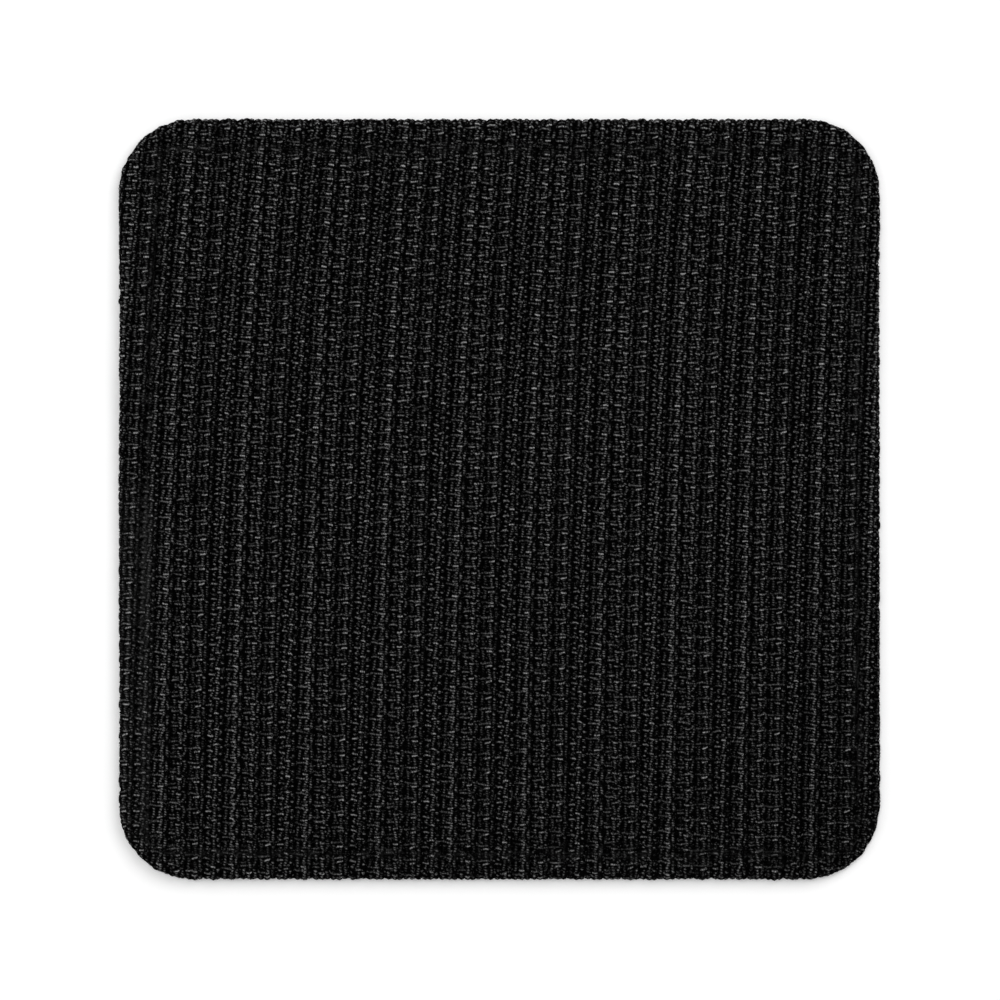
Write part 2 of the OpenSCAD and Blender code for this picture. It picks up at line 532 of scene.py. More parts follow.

# %% What changes from the far edge to the near edge
# The yarns don't lie the same everywhere. What is added to the painted highlight of a pick over an end,
# from the far edge to the near edge and then in the near right quarter, as (pick, end): brightness
NEAR_CHANGE = {(0, 1): 0.5, (2, 0): 0.45, (3, 4): -0.95, (3, 6): -0.45}
NEAR_RIGHT_CHANGE = {
    (1, 8): 0.14, (1, 9): 0.05, (1, 10): -0.1, (1, 11): 0.14, (0, 1): -0.5, (2, 0): -0.4,
}
# The same for the painted highlight on the crowns of an end from the far edge to the near edge, as end:
# brightness
END_NEAR_CHANGE = {4: 0.4}


def chart(entries, *shape):
    """The few entries in a table that is 0 elsewhere."""
    table = np.zeros(shape)
    for place, value in entries.items():
        table[place] = value
    return table


near_change = chart(NEAR_CHANGE, PICKS, ENDS)
near_right_change = chart(NEAR_RIGHT_CHANGE, PICKS, ENDS)
end_near_change = chart(END_NEAR_CHANGE, ENDS)
print("crossings that change", np.count_nonzero(near_change) + np.count_nonzero(near_right_change))

# %% [markdown]
# ## The cloth isn't quite square
#
# On the real patch the ribs lean to the right and fan out, and the picks sag. Each such pull is smooth over
# the whole patch, so a few terms are enough: an amount times powers of the place across and of the place
# along.

# %% From the draft to the flat cloth
# (amount, power of the place across, power of the place along), with the places in millimetres
SAG = ((0.0142, 0, 1), (-0.00039, 0, 2), (-0.0221, 1, 0), (0.00007, 2, 0))
LEAN = ((0.0307, 0, 1), (0.00039, 0, 2), (0.000003, 0, 3), (-0.000246, 1, 1))
# The same for small strains, with the places as shares of half the patch
STRAIN_ACROSS = (
    (0.04, 1, 0), (0.04, 0, 1), (-0.1, 2, 0), (0.05, 1, 1),
    (-0.27, 3, 0), (0.07, 2, 1), (-0.12, 1, 2), (0.04, 0, 3),
)
STRAIN_ALONG = ((0.08, 1, 1), (-0.07, 0, 2), (0.12, 2, 1), (0.14, 1, 2), (-0.08, 0, 3))


def terms(table, across, along):
    """The sum of a table's terms at a place."""
    return sum(amount * across**first * along**second for amount, first, second in table)


def cloth_place(x, y):
    placed_y = y + terms(SAG, x, y)
    placed_x = x + terms(LEAN, x, placed_y)
    right = placed_x / HALF_W
    far = placed_y / HALF_W
    return placed_x + terms(STRAIN_ACROSS, right, far), placed_y + terms(STRAIN_ALONG, right, far)


print("the far end of the middle rib leans by", round(float(cloth_place(0.0, HALF_W)[0]), 2), "mm")

# %% [markdown]
# ## The ribs
#
# Tall and plain ribs take turns, as in the construction. A rib is a shallow arch that lifts its ends, and
# the valley beside it stays dark because it lies lower. On the turned edge the cloth is pulled tight, so
# the ribs flatten there.

# %% Height of the ribs
# Place of each rib's crest in the repeat, and its height over the valleys
RIBS = ((0.80, 0.20), (2.61, 0.28), (4.45, 0.20), (6.22, 0.28))
TALL_RIB_H = 0.28
RIB_HALF_W = 0.78
FLAT_RIB_SHARE = 0.25
TIGHT_AFTER = 0.6 * TURN_CLOTH


def rib_drop(x):
    """How far the ribbed cloth lies below the crest of a tall rib, as a negative height."""
    place = np.mod(x - REPEAT_START_X, REPEAT_X)
    drop = np.full(np.shape(x), -TALL_RIB_H)
    for crest, rise in RIBS:
        aside = np.abs(place - crest)
        aside = np.minimum(aside, REPEAT_X - aside)
        drop = np.maximum(drop, rise * (1 - (aside / RIB_HALF_W) ** 2) - TALL_RIB_H)
    return drop


def cloth_height(draft_x, x, y):
    """Height of the cloth over the top of the tall ribs, so it is 0 there and negative elsewhere."""
    turned = np.clip((EDGE_FACE_R - depth_and_way_out(x, y)[0]) / TIGHT_AFTER, 0, 1)
    return rib_drop(draft_x) * (1 - (1 - FLAT_RIB_SHARE) * turned) - pulled(x, y)


print("a plain rib lies", round(TALL_RIB_H - RIBS[0][1], 2), "mm lower than a tall one")

# %% [markdown]
# ## Yarns
#
# A real yarn is a twisted bundle of fibres that the weave bends. Each is a thin tube here: a small circle
# is extruded once and cut into rings, an Array sets the tubes side by side, and then every ring is moved to
# where the draft has it. That is far cheaper than a hundred thousand separate pieces and stays exact.
#
# Four sides are enough for a tube that is five pixels wide: smooth shading makes it look round.

# %% Tubes side by side
TUBE_SPACING = 10


def link(name, mesh):
    piece = bpy.data.objects.new(name, mesh)
    bpy.context.scene.collection.objects.link(piece)
    return piece


def one_tube(name, sides, rings):
    """A straight tube of radius 1 along Y, with one ring to each unit."""
    bm = bmesh.new()
    bmesh.ops.create_circle(bm, cap_ends=False, radius=1, segments=sides)
    upright = Matrix.Rotation(QUARTER_TURN, 3, "X")
    bmesh.ops.rotate(bm, verts=bm.verts, cent=(0, 0, 0), matrix=upright)
    grown = bmesh.ops.extrude_edge_only(bm, edges=bm.edges[:])["geom"]
    far = [part for part in grown if isinstance(part, bmesh.types.BMVert)]
    bmesh.ops.translate(bm, verts=far, vec=(0, rings - 1, 0))
    lengthwise = [edge for edge in bm.edges if abs(edge.verts[0].co.y - edge.verts[1].co.y) > 0.5]
    bmesh.ops.subdivide_edges(bm, edges=lengthwise, cuts=rings - 2)
    mesh = bpy.data.meshes.new(name)
    bm.to_mesh(mesh)
    bm.free()
    return mesh


def tubes(name, sides, rings, count):
    """Straight tubes side by side, as one piece."""
    piece = link(name, one_tube(name, sides, rings))
    row = piece.modifiers.new("side by side", "ARRAY")
    row.count = count
    row.use_relative_offset = False
    row.use_constant_offset = True
    row.constant_offset_displace = (TUBE_SPACING, 0, 0)
    depsgraph = bpy.context.evaluated_depsgraph_get()
    finished = bpy.data.meshes.new_from_object(piece.evaluated_get(depsgraph))
    piece.modifiers.clear()
    piece.data = finished
    print(name, "starts as", count, "tubes of", rings, "rings")
    return piece


# %% Read the tubes back as numbers
def tube_numbers(piece):
    """For each point: its tube, its ring, and its place aside and up from the middle of the tube."""
    co = np.empty(len(piece.data.vertices) * 3, np.float32)
    piece.data.vertices.foreach_get("co", co)
    co = co.reshape(-1, 3).astype(float)
    yarn = np.rint(co[:, 0] / TUBE_SPACING).astype(int)
    ring = np.rint(co[:, 1]).astype(int)
    return yarn, ring, co[:, 0] - TUBE_SPACING * yarn, co[:, 2]


# %% [markdown]
# ## What each point keeps
#
# The material has to know where on which yarn a point lies, and a generated coordinate can't say that. So
# each point keeps it as attributes: its place along and around the yarn, how near it is to the crown, the
# number and the tone of the yarn, how much painted highlight the place gets, how felted it is, and how far
# out of the cloth it lies.

# %% Facts for the material
def yarn_facts(along, aside, up, number, highlight, rub, reach, tone):
    return {
        "along": along,
        "around": np.arctan2(aside, up) / FULL_TURN,
        "crown": np.maximum(up, 0),
        "yarn": number,
        "tone": tone,
        "highlight": highlight,
        "rubbed": rub,
        "reach": reach,
    }


# %% Put the tubes in place
def finish_tubes(piece, place, keep, facts):
    """Moves the points to place, drops the ones outside the cloth and closes the cut ends."""
    mesh = piece.data
    mesh.vertices.foreach_set("co", (np.stack(place, axis=1) * MM).astype(np.float32).ravel())
    for name, values in facts.items():
        mesh.attributes.new(name, "FLOAT", "POINT").data.foreach_set("value", values.astype(np.float32))
    bm = bmesh.new()
    bm.from_mesh(mesh)
    outside = [vert for vert, kept in zip(bm.verts, keep) if not kept]
    bmesh.ops.delete(bm, geom=outside, context="VERTS")
    cut = [edge for edge in bm.edges if edge.is_boundary]
    bmesh.ops.holes_fill(bm, edges=cut, sides=0)
    bmesh.ops.recalc_face_normals(bm, faces=bm.faces)
    for face in bm.faces:
        face.smooth = True
    bm.to_mesh(mesh)
    triangles = sum(len(face.verts) - 2 for face in bm.faces)
    bm.free()
    print(piece.name, triangles, "triangles")
    return piece


# %% [markdown]
# ## Unevenness of the yarns
#
# Spun yarn is thicker in one place than in another, lies a little aside of its true place, and slides
# along. Each of these is a sum of a few waves whose lengths in millimetres lie in a band, so it wanders
# smoothly. Flecks are the opposite: a new random strength of the painted highlight every ring or every few
# rings, standing in for single fibres that catch the light. Both come from one seeded generator, so the
# cloth is the same each time.

# %% Smooth wandering along each yarn
YARN_SEED = 11
UNEVEN_WAVES = 5
# The shortest and the longest wave of each kind of unevenness, in millimetres
WANDER_WAVES = (2.0, 17.0)
SWELL_WAVES = (1.2, 6.0)
JITTER_WAVES = (1.0, 3.0)
SLIP_WAVES = (1.5, 4.0)
rng = np.random.default_rng(YARN_SEED)


def uneven(count, band):
    """For each yarn, a smooth wandering between about -1 and 1 along its length in millimetres."""
    shape = (count, UNEVEN_WAVES)
    lengths = np.exp(rng.uniform(math.log(band[0]), math.log(band[1]), shape))
    starts = rng.uniform(0, FULL_TURN, shape)

    def at(yarn, along):
        total = np.zeros(len(along))
        for wave in range(UNEVEN_WAVES):
            total += np.sin(FULL_TURN * along / lengths[yarn, wave] + starts[yarn, wave])
        return total / math.sqrt(UNEVEN_WAVES)

    return at


def thirds(first, last):
    """A run of yarns in three parts, the last of which takes what is left over."""
    each = (last - first + 1) // 3
    return ((first, first + each - 1), (first + each, first + 2 * each - 1), (first + 2 * each, last))


print("a yarn wanders in waves of", WANDER_WAVES, "mm and swells in waves of", SWELL_WAVES, "mm")

# %% Sizes of the yarns
# A yarn is pressed flat, so it is wider than it is thick. As many ends and repeats as cover the patch
END_HALF_W = 0.24
END_HALF_T = 0.13
PICK_HALF_W = 0.22
PICK_HALF_T = 0.11
SIDES = 4
FIRST_END = -58
LAST_END = 78
FIRST_REPEAT = -28
LAST_REPEAT = 28
REPEATS = LAST_REPEAT - FIRST_REPEAT + 1


def end_place(end):
    """The place of an end across the flat cloth."""
    return REPEAT_START_X + REPEAT_X * np.floor_divide(end, ENDS) + END_PLACES[np.mod(end, ENDS)]


print("ends", LAST_END - FIRST_END + 1, "and picks", REPEATS * PICKS)

# %% [markdown]
# ## The warp ends
#
# The ends run the long way of the ribs. Seven rings to a repeat are enough to carry an end up over a pick
# and down again. The cloth is cut in three pieces side by side, so that none of them gets too heavy.

# %% Unevenness of the warp
# A slub is a thick place. The lengths are in millimetres and the flecks in shares of the painted highlight
RINGS_PER_REPEAT = 7
RINGS_PER_FLECK = 3
END_WANDER = 0.02
END_JITTER = 0.042
END_SLIP = 0.03
END_SLUB = 0.07
END_FLECKS = 0.26
END_FLECK_LEAST = 0.2
END_FLECK_MOST = 2.0
NEAR_LIFT = 1.6
print("an end strays by about", END_WANDER + END_JITTER, "mm")

# %% One part of the warp
def warp_piece(name, first, last):
    count = last - first + 1
    rings = REPEATS * RINGS_PER_REPEAT
    piece = tubes(name, SIDES, rings, count)
    yarn, ring, aside, up = tube_numbers(piece)
    wander = uneven(count, WANDER_WAVES)
    swell = uneven(count, SWELL_WAVES)
    jitter = uneven(count, JITTER_WAVES)
    slip = uneven(count, SLIP_WAVES)

    # The draft says where each ring lies, how high it is and how bright its painted highlight is
    end = first + yarn
    column = np.mod(end, ENDS)
    phase, level, shift, highlight = END_DRAFT[column, np.mod(ring, RINGS_PER_REPEAT)].T
    phase = phase + FIRST_REPEAT + ring // RINGS_PER_REPEAT
    draft_y = (PHASE_AT_MIDDLE - phase) * REPEAT_Y
    draft_x = end_place(end) + shift
    draft_x += END_WANDER * wander(yarn, draft_y) + END_JITTER * jitter(yarn, draft_y)
    x, y = cloth_place(draft_x, draft_y + END_SLIP * slip(yarn, draft_y))

    # Towards the near edge some ends lie higher and get more painted highlight
    nearness = -y / PATCH_W
    change = end_near_change[column]
    level = np.clip(level + NEAR_LIFT * change * (nearness + 0.5), 0, 1)
    flecks = rng.normal(1, END_FLECKS, (count, rings // RINGS_PER_FLECK + 1))
    flecks = np.clip(flecks, END_FLECK_LEAST, END_FLECK_MOST)[yarn, ring // RINGS_PER_FLECK]
    highlight = highlight * END_HIGHLIGHT[column] * (1 + change * nearness) * flecks * painted_light_and_wear(x, y)

    slub = 1 + END_SLUB * swell(yarn, draft_y)
    centre = cloth_height(draft_x, x, y) - END_HALF_T - 2 * PICK_HALF_T * (1 - level)
    place = turn_edge(x + aside * END_HALF_W * slub, y, centre + up * END_HALF_T * slub)
    keep = depth_and_way_out(x, y)[0] > -CLOTH_BEYOND
    tone = rng.uniform(-1, 1, count)[yarn]
    facts = yarn_facts(draft_y, aside, up, end, highlight, rubbed(x, y), level, tone)
    return finish_tubes(piece, place, keep, facts)


# %% The warp
warp = []
for side, (first, last) in zip(("left", "middle", "right"), thirds(FIRST_END, LAST_END)):
    warp.append(warp_piece(f"warp_{side}", first, last))
print("warp in", len(warp), "pieces")

# %% [markdown]
# ## The weft picks
#
# The picks run across. A pick needs one ring over each end and one between two ends. Where it passes over
# an end it is painted a short bright dash, a painted highlight and the brightest thing on the whole cloth.

# %% How bright a pick is over each end
PICK_HIGHLIGHT = 1.12
PICK_ON_TOP_FROM = 0.1
BETWEEN_LEVEL = 0.45


def pick_brightness(kind, end, nearness, near_right):
    column = np.mod(end, ENDS)
    bright = PICK_DRAFT[kind, column] + near_change[kind, column] * nearness
    return np.maximum(bright + near_right_change[kind, column] * near_right, 0)


print("the brightest crossing of a pick shows at", round(PICK_HIGHLIGHT * PICK_DRAFT.max(), 2))

# %% Unevenness of the weft
RINGS_PER_END = 2
PICK_WANDER = 0.03
PICK_JITTER = 0.05
PICK_SLUB = 0.1
PICK_FLECKS = 0.35
PICK_FLECK_LEAST = 0.2
PICK_FLECK_MOST = 1.5
PICK_NUMBERS_FROM = 1000
print("a pick strays by about", PICK_WANDER + PICK_JITTER, "mm")

# %% One part of the weft
def weft_piece(name, first, last):
    count = last - first + 1
    rings = (LAST_END - FIRST_END + 1) * RINGS_PER_END
    piece = tubes(name, SIDES, rings, count)
    yarn, ring, aside, up = tube_numbers(piece)
    wander = uneven(count, WANDER_WAVES)
    swell = uneven(count, SWELL_WAVES)
    jitter = uneven(count, JITTER_WAVES)

    # Every second ring lies midway between two ends
    pick = first + yarn
    kind = np.mod(pick, PICKS)
    end = FIRST_END + ring // RINGS_PER_END
    between = np.mod(ring, RINGS_PER_END) == 1
    draft_x = np.where(between, (end_place(end) + end_place(end + 1)) / 2, end_place(end))
    phase = PICK_PLACES[kind, np.mod(end, ENDS)]
    next_phase = PICK_PLACES[kind, np.mod(end + 1, ENDS)]
    phase = np.where(between, (phase + next_phase) / 2, phase) + np.floor_divide(pick, PICKS)
    draft_y = (PHASE_AT_MIDDLE - phase) * REPEAT_Y
    draft_y += PICK_WANDER * wander(yarn, draft_x) + PICK_JITTER * jitter(yarn, draft_x)
    x, y = cloth_place(draft_x, draft_y)

    # How bright its painted highlight is, and from that how high it lies
    nearness = -y / PATCH_W
    near_right = np.clip(2 * nearness, 0, 1) * np.clip(x / HALF_W, 0, 1)
    bright = pick_brightness(kind, end, nearness, near_right)
    next_bright = pick_brightness(kind, end + 1, nearness, near_right)
    highlight = np.where(between, np.maximum(bright, next_bright), bright)
    level = np.clip(bright / PICK_ON_TOP_FROM, 0, 1)
    level = np.where(between, BETWEEN_LEVEL * np.minimum(bright + next_bright, 1), level)
    flecks = rng.normal(1, PICK_FLECKS, (count, rings))[yarn, ring]
    highlight = PICK_HIGHLIGHT * highlight * np.clip(flecks, PICK_FLECK_LEAST, PICK_FLECK_MOST) * painted_light_and_wear(x, y)

    slub = 1 + PICK_SLUB * swell(yarn, draft_x)
    centre = cloth_height(draft_x, x, y) - PICK_HALF_T - 2 * END_HALF_T * (1 - level)
    place = turn_edge(x, y + aside * PICK_HALF_W * slub, centre + up * PICK_HALF_T * slub)
    keep = depth_and_way_out(x, y)[0] > -CLOTH_BEYOND
    tone = rng.uniform(-1, 1, count)[yarn]
    reach = np.where(between, 0.0, level)
    facts = yarn_facts(draft_x, aside, up, pick + PICK_NUMBERS_FROM, highlight, rubbed(x, y), reach, tone)
    return finish_tubes(piece, place, keep, facts)


# %% The weft
first_pick = FIRST_REPEAT * PICKS
last_pick = (LAST_REPEAT + 1) * PICKS - 1
weft = []
for side, (first, last) in zip(("far", "middle", "near"), thirds(first_pick, last_pick)):
    weft.append(weft_piece(f"weft_{side}", first, last))
print("weft in", len(weft), "pieces")

# %% [markdown]
# ## The body of the pad
#
# Under the yarns lies a stiff closed body: the turned-in cloth and the lining. It is seen only as the dark
# between the yarns, and as the plain woven back. A bevelled plate would do for that, but it has no trough
# for the stitches. So a grid is rolled round the outline: its columns go all round, and its rows follow the
# section, from the back over the rounded edge, the wall and the face down into the trough. Its seam is
# merged and both ends are closed, so that it is one tight skin.

# %% The outline, moved in
CORNER_STEPS = 16
SIDE_STEPS = 6
CORNER_FILL = 0.14


def outline_ring(depth):
    """The rounded square, moved in by depth: the same number of points for every depth."""
    straight = HALF_W - CORNER_R
    points = []
    for number, (side_x, side_y) in enumerate(((1, 1), (-1, 1), (-1, -1), (1, -1))):
        for step in range(CORNER_STEPS + 1):
            angle = QUARTER_TURN * (number + step / CORNER_STEPS)
            way = np.array([math.cos(angle), math.sin(angle)])
            reach = CORNER_R - depth + CORNER_FILL * corner_share(*way)
            points.append(np.array([side_x, side_y]) * straight + reach * way)
        start = points[-1]
        end = start * ((-1, 1) if number % 2 == 0 else (1, -1))
        for step in range(1, SIDE_STEPS):
            points.append(start + (end - start) * step / SIDE_STEPS)
    return points


print("points round the body", len(outline_ring(0.0)))

# %% Body
# Depth inside the outline and height over the floor, from the back round the edge to the face
BODY_SECTION = (
    (6.0, 0.08), (0.7, 0.08), (0.42, 0.11), (0.24, 0.22), (0.14, 0.4), (0.14, 0.85), (0.2, 1.08),
    (0.38, 1.3), (0.62, 1.42), (0.9, 1.45), (1.25, 1.42), (1.5, 0.95), (4.7, 0.95), (5.0, 1.42), (6.0, 1.45),
)
MERGE_WITHIN = 0.0001
body_rings = [outline_ring(depth) for depth, height in BODY_SECTION]
columns = len(body_rings[0])
rows = len(BODY_SECTION) - 1

bm = bmesh.new()
bmesh.ops.create_grid(bm, x_segments=columns, y_segments=rows, size=0.5)
for vert in bm.verts:
    column = round((vert.co.x + 0.5) * columns) % columns
    row = round((vert.co.y + 0.5) * rows)
    x, y = body_rings[row][column]
    vert.co = (x * MM, y * MM, BODY_SECTION[row][1] * MM)
bmesh.ops.remove_doubles(bm, verts=bm.verts, dist=MERGE_WITHIN * MM)
bmesh.ops.holes_fill(bm, edges=[edge for edge in bm.edges if edge.is_boundary], sides=0)
bmesh.ops.recalc_face_normals(bm, faces=bm.faces)
body_mesh = bpy.data.meshes.new("ground_cloth")
bm.to_mesh(body_mesh)
print("ground_cloth", len(bm.faces), "faces and", sum(edge.is_boundary for edge in bm.edges), "open edges")
bm.free()
ground = link("ground_cloth", body_mesh)

# %% [markdown]
# ## The stitches
#
# One line of lockstitch runs all round. On the face each stitch is a short arc of thread that comes out of
# one hole and goes down the next, so the thread is one tube that dives into the cloth at every hole. The
# back has the same line with its own thread, which lies flatter. On the face the thread has sunk among the
# yarns, as it does in a soft cloth, so it is hardly seen.

# %% Thread
THREAD_SIDES = 6
THREAD_FLATNESS = 0.85
THREAD_HOLE_SHARE = 0.14
THREAD_HIGHLIGHT = 0.6
THREAD_NUMBER = 5000

way_x = np.gradient(seam_x)
way_y = np.gradient(seam_y)
way_size = np.hypot(way_x, way_y)
across_x = way_y / way_size
across_y = -way_x / way_size


def thread_piece(name, radius, top, dive, slant, face):
    """The thread on the face (face=1) or the back (face=-1). slant is how far a stitch lies askew."""
    piece = tubes(name, THREAD_SIDES, STITCHES * STITCH_RINGS + 1, 1)
    yarn, ring, aside, up = tube_numbers(piece)
    share = np.mod(ring, STITCH_RINGS) / STITCH_RINGS
    depth = dive * hump(np.minimum(share, 1 - share), THREAD_HOLE_SHARE)
    shift = slant * np.where(share == 0, 0, share - 0.5) + aside * radius
    x = seam_x[ring] + across_x[ring] * shift
    y = seam_y[ring] + across_y[ring] * shift
    z = top - face * (radius + depth) + up * radius * THREAD_FLATNESS
    same = np.ones(len(ring))
    rub = rubbed(x, y) if face > 0 else 0 * same
    facts = yarn_facts(
        seam_run[ring], aside, up, THREAD_NUMBER * same, THREAD_HIGHLIGHT * same, rub, same, 0 * same
    )
    facts["crown"] = np.maximum(up * face, 0)
    return finish_tubes(piece, (x, y, z), same > 0, facts)


face_stitches = thread_piece("face_stitches", radius=0.13, top=1.45, dive=0.5, slant=0.2, face=1)
back_stitches = thread_piece("back_stitches", radius=0.12, top=0.0, dive=0.3, slant=0.1, face=-1)

# %% [markdown]
# ## Materials
#
# A colour is written as the hex code that a colour picker shows, and Blender wants linear numbers, so one
# function turns it. Another adds a node with its settings and links. Nothing else is needed for a material.

# %% Colours and nodes
def linear(code):
    """A hex colour as linear numbers, by the rule for sRGB."""
    values = []
    for place in (1, 3, 5):
        share = int(code[place : place + 2], 16) / 255
        values.append(share / 12.92 if share <= 0.04045 else ((share + 0.055) / 1.055) ** 2.4)
    return (*values, 1)


def add(material, kind, sockets=None, **settings):
    """Adds one node with its settings. A socket is given a value, an output, or a node's first output."""
    tree = material.node_tree
    new = tree.nodes.new(kind)
    for name, value in settings.items():
        setattr(new, name, value)
    for name, value in (sockets or {}).items():
        if isinstance(value, bpy.types.Node):
            value = value.outputs[0]
        if isinstance(value, bpy.types.NodeSocket):
            tree.links.new(value, new.inputs[name])
        else:
            new.inputs[name].default_value = value
    return new


def blank(name):
    material = bpy.data.materials.new(name)
    material.use_nodes = True
    material.node_tree.nodes.clear()
    return material


print("middle grey #808080 gives back", round(linear("#808080")[0], 2), "of the light")

# %% [markdown]
# ## Black spun yarn
#
# Spun cotton is short fibres twisted into plies, and the plies twisted into a yarn. It has no gloss to
# speak of. The eye finds four things on it. The crown of each bend is painted grey, a painted highlight,
# and its flanks are painted black, painted shade. The plies cut the crown into beads. Fibres cross it at a
# slant and break the grey up into flecks. And fibre ends stand off it as pale lint, which closes to a grey
# haze where the cloth is felted.
#
# A woven image could be wrapped over the cloth, but it would not follow the yarns. So the numbers stored on
# the points drive all four. Fibres of 0.02 mm are far too fine to show at ten pixels to the millimetre, so
# flecks and lint are drawn as coarse as a pixel or two: one fleck every 0.14 mm and one bit of lint every
# 0.24 mm.

# %% Fibres and plies
FLECKS_PER_MM = 7.4
FLECKS_ROUND = 3.6
TWISTS_PER_MM = 0.9
print("flecks every", round(1 / FLECKS_PER_MM, 2), "mm")


def fibre_flecks(material, fact):
    """Noise that winds round the yarn and changes fastest along it, another one for each yarn."""
    lengthwise = add(material, "ShaderNodeMath", {0: fact["along"], 1: FLECKS_PER_MM}, operation="MULTIPLY")
    twist = add(
        material, "ShaderNodeMath", {0: fact["along"], 1: TWISTS_PER_MM, 2: fact["around"]},
        operation="MULTIPLY_ADD",
    )
    crosswise = add(material, "ShaderNodeMath", {0: twist, 1: FLECKS_ROUND}, operation="MULTIPLY")
    place = add(material, "ShaderNodeCombineXYZ", {0: lengthwise, 1: crosswise, 2: fact["yarn"]})
    return add(
        material, "ShaderNodeTexNoise", {"Vector": place, "Scale": 1.0, "Detail": 4.0, "Roughness": 0.75}
    ).outputs["Fac"]


def ply_beads(material, fact, fibres, bead_mm, contrast):
    """Slanting bands, one for each bead that the twisted plies show, roughened by the fibres."""
    lay = add(
        material, "ShaderNodeMath", {0: fact["along"], 1: FULL_TURN / bead_mm, 2: fibres},
        operation="MULTIPLY_ADD",
    )
    lay = add(
        material, "ShaderNodeMath", {0: fact["around"], 1: FULL_TURN, 2: lay}, operation="MULTIPLY_ADD"
    )
    band = add(material, "ShaderNodeMath", {0: lay}, operation="SINE")
    return add(
        material, "ShaderNodeMapRange",
        {"Value": band, "From Min": -1.0, "From Max": 1.0, "To Min": 1 - contrast, "To Max": 1 + contrast},
    )


# %% Painted highlight on the crown
FLECK_GAIN = 1.4
TONE_SPREAD = 0.25


def painted_crown_light(material, fact, fibres, narrow, visible, flecks, beads):
    """How light the yarn is painted: the painted highlight on its crown, painted shade where it lies low,
    and all else that makes it light or dark, multiplied together.
    """
    crown = add(material, "ShaderNodeMath", {0: fact["crown"], 1: narrow}, operation="POWER")
    fleck = add(
        material, "ShaderNodeMapRange",
        {"Value": fibres, "From Min": flecks[0], "From Max": flecks[1], "To Max": FLECK_GAIN},
    )
    bead = ply_beads(material, fact, fibres, *beads)
    # Painted shade: darker where the yarn lies low among the other yarns
    painted_shade_by_height = add(
        material, "ShaderNodeMapRange",
        {"Value": fact["reach"], "From Min": visible[0], "From Max": visible[1]},
        interpolation_type="SMOOTHSTEP",
    )
    toned = add(
        material, "ShaderNodeMath", {0: fact["tone"], 1: TONE_SPREAD, 2: 1.0}, operation="MULTIPLY_ADD"
    )
    lit = crown
    for share in (fleck, fact["highlight"], bead, painted_shade_by_height, toned):
        lit = add(material, "ShaderNodeMath", {0: lit, 1: share}, operation="MULTIPLY")
    return lit


print("a yarn's tone differs by up to", TONE_SPREAD, "of its light")

# %% Lint and haze
LINT_PER_METRE = 4200.0
LINT_GREY = 0.24
HAZE_COLOUR = "#2c2c2c"
HAZE_THINNEST = 0.2
# Between which noise lint comes up, and the haze
LINT_NOISE = (0.59, 0.73)
HAZE_NOISE = (0.35, 0.65)


def linted_colour(material, fact, lit, dark, light):
    """The yarn's colour with lint over it, in the cloth's own place, and with haze where it is felted."""
    where = add(material, "ShaderNodeTexCoord").outputs["Object"]
    lint = add(
        material, "ShaderNodeTexNoise",
        {"Vector": where, "Scale": LINT_PER_METRE, "Detail": 1.0, "Roughness": 0.5},
    )
    specks = add(
        material, "ShaderNodeMapRange",
        {"Value": lint, "From Min": LINT_NOISE[0], "From Max": LINT_NOISE[1], "To Max": LINT_GREY},
    )
    lit = add(material, "ShaderNodeMath", {0: lit, 1: specks}, operation="ADD", use_clamp=True)
    colour = add(
        material, "ShaderNodeMix", {0: lit, 6: linear(dark), 7: linear(light)}, data_type="RGBA"
    ).outputs[2]
    haze = add(
        material, "ShaderNodeMapRange",
        {"Value": lint, "From Min": HAZE_NOISE[0], "From Max": HAZE_NOISE[1], "To Min": HAZE_THINNEST},
    )
    haze = add(material, "ShaderNodeMath", {0: haze, 1: fact["rubbed"]}, operation="MULTIPLY")
    return add(
        material, "ShaderNodeMix", {0: haze, 6: colour, 7: linear(HAZE_COLOUR)}, data_type="RGBA"
    ).outputs[2]


print("lint every", round(1 / LINT_PER_METRE / MM, 2), "mm")

# %% The material of a yarn
BUMP_STRENGTH = 0.8
BUMP_MM = 0.08


def yarn_material(name, dark, light, narrow, visible, flecks, beads, roughness, gloss):
    """dark and light are the colours of flank and crown, painted shade and painted highlight, and narrow
    says how narrow the painted highlight on the crown is. visible is between which heights the yarn comes
    out of its painted shade, flecks between which noise it lights up, and beads the length of a bead in
    millimetres and its contrast."""
    material = blank(name)
    fact = {}
    for stored in ("along", "around", "crown", "yarn", "tone", "highlight", "rubbed", "reach"):
        fact[stored] = add(material, "ShaderNodeAttribute", attribute_name=stored).outputs["Fac"]
    fibres = fibre_flecks(material, fact)
    lit = painted_crown_light(material, fact, fibres, narrow, visible, flecks, beads)
    bump = add(
        material, "ShaderNodeBump", {"Strength": BUMP_STRENGTH, "Distance": BUMP_MM * MM, "Height": fibres}
    )
    shader = add(material, "ShaderNodeBsdfPrincipled", {
        "Base Color": linted_colour(material, fact, lit, dark, light),
        "Roughness": roughness, "Specular IOR Level": gloss, "Normal": bump,
    })
    add(material, "ShaderNodeOutputMaterial", {"Surface": shader})
    print("material", name, "of", len(material.node_tree.nodes), "nodes")
    return material


# %% Yarns of the face
# Warp: cotton spun hard for strength. Its crowns are painted a broad grey highlight, with six clear beads
# to a repeat
BEADS_PER_REPEAT = 6
warp_yarn = yarn_material(
    "black_spun_cotton_warp", dark="#040404", light="#616161", narrow=2.6, visible=(0.15, 0.5),
    flecks=(0.435, 0.58), beads=(REPEAT_Y / BEADS_PER_REPEAT, 1.15), roughness=0.6, gloss=0.0,
)
# Weft: cotton spun softer, with long parallel fibres. Its painted highlight is narrow, light dashes with
# hardly a bead
weft_yarn = yarn_material(
    "black_spun_cotton_weft", dark="#040404", light="#8e8e8e", narrow=4.4, visible=(0.0, 0.18),
    flecks=(0.41, 0.57), beads=(0.5, 0.2), roughness=0.6, gloss=0.0,
)
